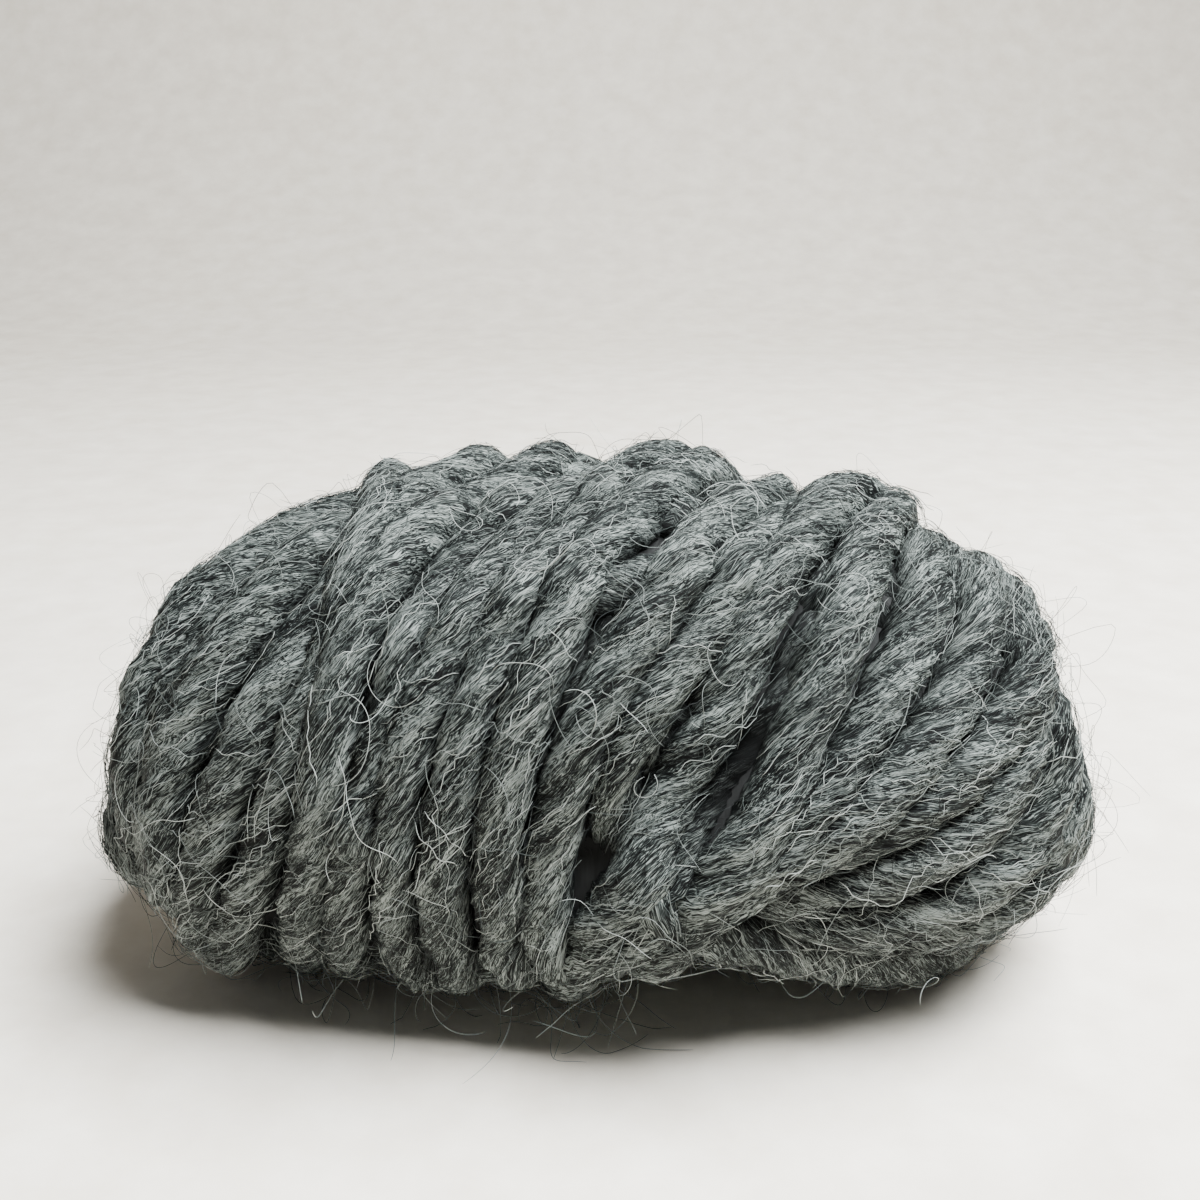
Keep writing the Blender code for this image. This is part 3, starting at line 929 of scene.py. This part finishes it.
def roving_material():
    """Single-ply wool roving, heathered: dark and pale fibres carded together before spinning,
    so the strand is streaked along its twist in charcoal and pale grey, and quite matt. The
    crimp of the wool makes the streaks wave."""
    material, tree, surface = new_material("heathered wool roving")
    lay = add_node(tree, "ShaderNodeAttribute", {"attribute_name": "lay"})
    wandering = add_node(
        tree, "ShaderNodeMapping", {"Scale": CRIMP_WAVES}, {"Vector": lay.outputs["Vector"]}
    )
    crimp = add_node(
        tree, "ShaderNodeTexNoise", {"Scale": 1.0, "Detail": 1.0},
        {"Vector": wandering.outputs["Vector"]},
    )
    centred = add_node(
        tree, "ShaderNodeVectorMath", {"operation": "SUBTRACT", 1: (0.5, 0.5, 0.5)},
        {0: crimp.outputs["Color"]},
    )
    aside = add_node(
        tree, "ShaderNodeVectorMath", {"operation": "SCALE", "Scale": CRIMP_DEPTH * MM},
        {0: centred.outputs["Vector"]},
    )
    waved = add_node(
        tree, "ShaderNodeVectorMath", {"operation": "ADD"},
        {0: lay.outputs["Vector"], 1: aside.outputs["Vector"]},
    )
    fine = add_node(
        tree, "ShaderNodeMapping", {"Scale": FIBRE_STREAKS}, {"Vector": waved.outputs["Vector"]}
    )
    fibres = add_node(
        tree, "ShaderNodeTexNoise", {"Scale": 1.0, "Detail": 2.0, "Roughness": 0.6},
        {"Vector": fine.outputs["Vector"]},
    )
    broad = add_node(
        tree, "ShaderNodeMapping", {"Scale": LOCK_STREAKS}, {"Vector": waved.outputs["Vector"]}
    )
    locks = add_node(
        tree, "ShaderNodeTexNoise", {"Scale": 1.0, "Detail": 2.0, "Roughness": 0.5},
        {"Vector": broad.outputs["Vector"]},
    )
    mixed = add_node(
        tree, "ShaderNodeMix", {"data_type": "FLOAT", 0: 0.28},
        {2: fibres.outputs["Fac"], 3: locks.outputs["Fac"]},
    )
    # painted sheen: broad paler stretches along the strand stand in for its silky highlights
    sheen_mapping = add_node(
        tree, "ShaderNodeMapping", {"Scale": PAINTED_SHEEN_STREAKS}, {"Vector": waved.outputs["Vector"]}
    )
    painted_sheen = add_node(
        tree, "ShaderNodeTexNoise", {"Scale": 1.0, "Detail": 0.0},
        {"Vector": sheen_mapping.outputs["Vector"]},
    )
    shown = add_node(
        tree, "ShaderNodeMix", {"data_type": "FLOAT", 0: 0.15},
        {2: mixed.outputs[0], 3: painted_sheen.outputs["Fac"]},
    )
    ramp = add_node(tree, "ShaderNodeValToRGB", {}, {"Fac": shown.outputs[0]})
    set_ramp(ramp, [
        (0.42, "050606"), (0.475, "141717"), (0.52, "393f3d"), (0.58, "878e8a"),
    ])
    # painted shade: the colour is mixed towards near-black by how deep the strand lies in a groove
    painted_shade_depth = add_node(tree, "ShaderNodeAttribute", {"attribute_name": "painted_shade_depth"})
    shade = add_node(
        tree, "ShaderNodeMix", {"data_type": "RGBA", 7: linear("050606")},
        {0: painted_shade_depth.outputs["Fac"], 6: ramp.outputs["Color"]},
    )
    tree.links.new(shade.outputs[2], surface.inputs["Base Color"])
    bump = add_node(
        tree, "ShaderNodeBump", {"Strength": 1.0, "Distance": FIBRE_RELIEF * MM},
        {"Height": mixed.outputs[0]},
    )
    tree.links.new(bump.outputs["Normal"], surface.inputs["Normal"])
    surface.inputs["Roughness"].default_value = 0.65
    surface.inputs["Specular IOR Level"].default_value = 0.10
    return material


def inner_material():
    """The roving deep in the gaps, where little light comes: painted near-black as shade, with the
    same streaks.
    """
    material, tree, surface = new_material("roving in the shade of the winding")
    where = add_node(tree, "ShaderNodeTexCoord")
    stretched = add_node(
        tree, "ShaderNodeMapping", {"Scale": SHADE_STREAKS}, {"Vector": where.outputs["Object"]}
    )
    fibres = add_node(
        tree, "ShaderNodeTexNoise", {"Scale": 1.0, "Detail": 3.0},
        {"Vector": stretched.outputs["Vector"]},
    )
    ramp = add_node(tree, "ShaderNodeValToRGB", {}, {"Fac": fibres.outputs["Fac"]})
    # painted shade: the core's streaks run near-black, far darker than the wool itself
    set_ramp(ramp, [(0.35, "050606"), (0.65, "141616")])
    tree.links.new(ramp.outputs["Color"], surface.inputs["Base Color"])
    surface.inputs["Roughness"].default_value = 0.9
    return material


def fibre_materials():
    """Wool fibres, carded from five shades: each lies over the strand as a fine line with a
    faint gloss, so pale and dark ones cross and the whole looks a broken grey."""
    made = []
    for name, colour in (
        ("charcoal wool fibre", "0d0f10"),
        ("slate wool fibre", "232727"),
        ("mid grey wool fibre", "464c4a"),
        ("pale grey wool fibre", "767c79"),
        ("near-white wool fibre", "a8aeaa"),
    ):
        material, _, surface = new_material(name)
        surface.inputs["Base Color"].default_value = linear(colour)
        surface.inputs["Roughness"].default_value = 0.5
        surface.inputs["Specular IOR Level"].default_value = 0.15
        made.append(material)
    return made


def floor_material():
    """Plain pale card: near white, matt, with a faint unevenness."""
    material, tree, surface = new_material("pale card")
    where = add_node(tree, "ShaderNodeTexCoord")
    cloudy = add_node(
        tree, "ShaderNodeTexNoise", {"Scale": 70.0, "Detail": 4.0, "Roughness": 0.6},
        {"Vector": where.outputs["Object"]},
    )
    ramp = add_node(tree, "ShaderNodeValToRGB", {}, {"Fac": cloudy.outputs["Fac"]})
    set_ramp(ramp, [(0.30, "eae1d3"), (0.70, "fbf4e8")])
    tree.links.new(ramp.outputs["Color"], surface.inputs["Base Color"])
    surface.inputs["Roughness"].default_value = 0.85
    return material


def make_floor(material):
    """A floor that sweeps up into the backdrop."""
    sweep = bmesh.new()
    profile = [(FLOOR_FRONT, 0.0), (FLOOR_BACK, 0.0)]
    for step in range(1, SWEEP_STEPS + 1):
        turn = math.radians(90 * step / SWEEP_STEPS)
        rise = SWEEP_RADIUS * (1 - math.cos(turn))
        profile.append((FLOOR_BACK + SWEEP_RADIUS * math.sin(turn), rise))
    profile.append((FLOOR_BACK + SWEEP_RADIUS, BACKDROP_HEIGHT))
    points = [sweep.verts.new((-FLOOR_HALF_WIDTH, y, z)) for y, z in profile]
    edges = [sweep.edges.new(pair) for pair in zip(points, points[1:])]
    drawn = bmesh.ops.extrude_edge_only(sweep, edges=edges)
    moved = [item for item in drawn["geom"] if isinstance(item, bmesh.types.BMVert)]
    bmesh.ops.translate(sweep, vec=(2 * FLOOR_HALF_WIDTH, 0.0, 0.0), verts=moved)
    bmesh.ops.recalc_face_normals(sweep, faces=sweep.faces)
    sweep.faces.ensure_lookup_table()
    if sweep.faces[0].normal.z < 0:
        bmesh.ops.reverse_faces(sweep, faces=sweep.faces)
    return finished_object("floor", sweep, material)


def make_lights():
    """One soft light nearly overhead: the pale floor throws it back up onto the lower half."""
    for name, place, aim, size, power, colour in (
        ("overhead", (0.22, -0.05, 0.60), (0.0, 0.0, 0.0), (0.46, 0.36), 24.0, (0.96, 0.99, 1.0)),
        ("backdrop", (-0.1, 0.30, 0.75), (0.1, 0.9, 0.4), (1.2, 0.4), 0.8, (1.0, 0.98, 0.95)),
    ):
        data = bpy.data.lights.new(name, "AREA")
        data.shape = "RECTANGLE"
        data.size, data.size_y = size
        data.energy = power
        data.color = colour
        light = new_object(name, data)
        light.location = place
        light.rotation_euler = (Vector(aim) - Vector(place)).to_track_quat("-Z", "Y").to_euler()
    world = bpy.data.worlds.new("room")
    bpy.context.scene.world = world
    world.use_nodes = True
    background = world.node_tree.nodes["Background"]
    background.inputs["Color"].default_value = (0.93, 0.96, 1.0, 1.0)
    background.inputs["Strength"].default_value = 0.10


def make_camera(aim):
    """The photograph's view: from a little above the ball, square to its long side."""
    data = bpy.data.cameras.new("camera")
    data.angle = math.radians(VIEW_ANGLE)
    data.clip_start = 0.01
    camera = new_object("camera", data)
    up = math.radians(VIEW_HEIGHT)
    back = VIEW_DISTANCE * MM
    place = aim * MM + np.array([0.0, -math.cos(up) * back, math.sin(up) * back])
    focal = IMAGE_SIZE / 2 / math.tan(math.radians(VIEW_ANGLE) / 2)
    down = up - math.atan(VIEW_BELOW / focal)
    camera.location = place
    camera.rotation_euler = (math.pi / 2 - down, 0.0, 0.0)
    bpy.context.scene.camera = camera


def main():
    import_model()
    random = np.random.default_rng(20)
    winding = wind_ball()
    rest = Rest(winding)
    make_camera(rest.centre())
    make_lights()
    make_floor(floor_material())

    roving = roving_material()
    core = make_core(winding, rest, inner_material())
    strands = strands_that_show(winding)
    half = len(strands) // 2
    outer = roll_up_strands("outer_turns", strands[half:], winding, rest, roving)
    inner = roll_up_strands("inner_strands", strands[:half], winding, rest, roving)
    pieces = [core, inner, outer]

    shades = fibre_materials()
    section = fibre_section("fibre_section", FIBRE_RADIUS)
    combed = strand_fibres(winding, strands, rest, random, COMBED)
    for number in range(COMBED_PIECES):
        share = combed[number::COMBED_PIECES]
        pieces.append(swept_mesh(f"combed_fibres_{number + 1}", share, section, shades))
    wavy = strand_fibres(winding, strands, rest, random, WAVY)
    pieces.append(swept_mesh("wavy_fibres", wavy, section, shades))
    fine_section = fibre_section("halo_section", HALO_RADIUS)
    flying = loose_fibres(winding, rest, random) + hanging_fibres(winding, rest, random)
    pieces.append(swept_mesh("halo_fibres", flying, fine_section, shades))
    bpy.data.objects.remove(section)
    bpy.data.objects.remove(fine_section)

    for piece in pieces:
        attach(piece, "root")
    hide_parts("yarn_ball")


main()
